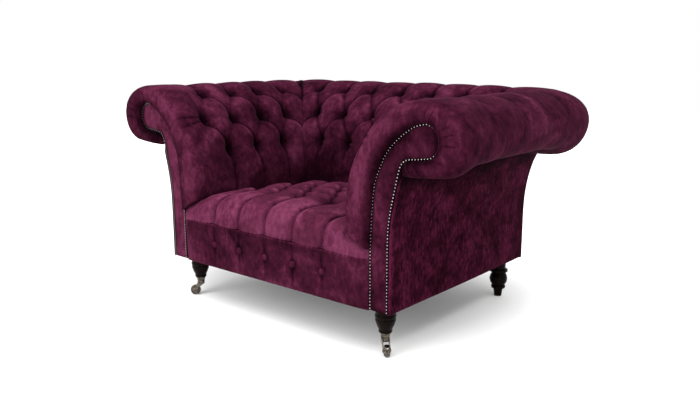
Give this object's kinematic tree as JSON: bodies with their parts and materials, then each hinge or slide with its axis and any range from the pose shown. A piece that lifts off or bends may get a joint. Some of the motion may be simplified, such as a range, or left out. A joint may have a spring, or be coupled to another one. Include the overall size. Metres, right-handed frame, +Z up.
{
  "type": "deep-buttoned armchair",
  "caption": "Low-backed armchair with rolled scroll arms, deep-buttoned velvet upholstery, nail-trimmed facings, turned legs and castors under the front legs.",
  "frame": {"origin": "on the floor, under the middle of the chair's bounding box", "axes": "+X to the sitter's left, across the arms; -Y to the front; +Z up"},
  "size_m": [1.474, 0.957, 0.762],
  "materials": {
    "plum_velvet": "plum velvet with a crushed, mottled nap",
    "frame_timber": "plain hardwood",
    "dark_wood": "near-black stained and polished turned wood",
    "plain_steel": "plain steel",
    "jute": "woven jute hessian",
    "nail_metal": "polished silver-coloured dome nails",
    "castor_metal": "polished silver-coloured metal",
    "dust_cloth": "black cambric"
  },
  "bodies": {
    "chair": {"seat_pad": "plum_velvet", "back_pad": "plum_velvet", "left_arm_pad": "plum_velvet", "right_arm_pad": "plum_velvet", "left_corner_pad": "plum_velvet", "right_corner_pad": "plum_velvet", "front_border": "plum_velvet", "left_outside_panel": "plum_velvet", "right_outside_panel": "plum_velvet", "outside_back_panel": "plum_velvet", "left_facing_panel": "plum_velvet", "right_facing_panel": "plum_velvet", "seat_buttons": "plum_velvet", "back_buttons": "plum_velvet", "left_arm_buttons": "plum_velvet", "right_arm_buttons": "plum_velvet", "border_buttons": "plum_velvet", "front_seat_rail": "frame_timber", "back_seat_rail": "frame_timber", "left_seat_rail": "frame_timber", "right_seat_rail": "frame_timber", "corner_blocks": "frame_timber", "left_front_post": "frame_timber", "right_front_post": "frame_timber", "left_back_post": "frame_timber", "right_back_post": "frame_timber", "left_arm_top_rail": "frame_timber", "right_arm_top_rail": "frame_timber", "back_top_rail": "frame_timber", "left_arm_tack_rail": "frame_timber", "right_arm_tack_rail": "frame_timber", "back_tack_rail": "frame_timber", "left_facing_board": "frame_timber", "right_facing_board": "frame_timber", "front_left_leg": "dark_wood", "front_right_leg": "dark_wood", "rear_left_leg": "dark_wood", "rear_right_leg": "dark_wood", "frame_screws": "plain_steel", "seat_springs": "plain_steel", "spring_clips": "plain_steel", "leg_bolts": "plain_steel", "seat_hessian": "jute", "left_arm_hessian": "jute", "right_arm_hessian": "jute", "back_hessian": "jute", "left_facing_nails": "nail_metal", "right_facing_nails": "nail_metal", "left_castor_cup": "castor_metal", "left_castor_pin": "castor_metal", "right_castor_cup": "castor_metal", "right_castor_pin": "castor_metal", "dust_cover": "dust_cloth"},
    "left_castor": {"left_castor_horn": "castor_metal", "left_castor_axle": "castor_metal"},
    "right_castor": {"right_castor_horn": "castor_metal", "right_castor_axle": "castor_metal"},
    "left_wheel": {"left_castor_wheel": "castor_metal"},
    "right_wheel": {"right_castor_wheel": "castor_metal"}
  },
  "joints": [
    {"name": "left_castor_swivel", "type": "hinge", "parent": "chair", "child": "left_castor", "pos_m": [-0.425, -0.3915, 0.055], "axis": [0, 0, 1], "continuous": true},
    {"name": "left_wheel_spin", "type": "hinge", "parent": "left_castor", "child": "left_wheel", "pos_m": [-0.44085, -0.40528, 0.0185], "axis": [0.6561, -0.7547, 0], "continuous": true},
    {"name": "right_castor_swivel", "type": "hinge", "parent": "chair", "child": "right_castor", "pos_m": [0.425, -0.3915, 0.055], "axis": [0, 0, 1], "continuous": true},
    {"name": "right_wheel_spin", "type": "hinge", "parent": "right_castor", "child": "right_wheel", "pos_m": [0.44085, -0.40528, 0.0185], "axis": [0.6561, 0.7547, 0], "continuous": true}
  ]
}
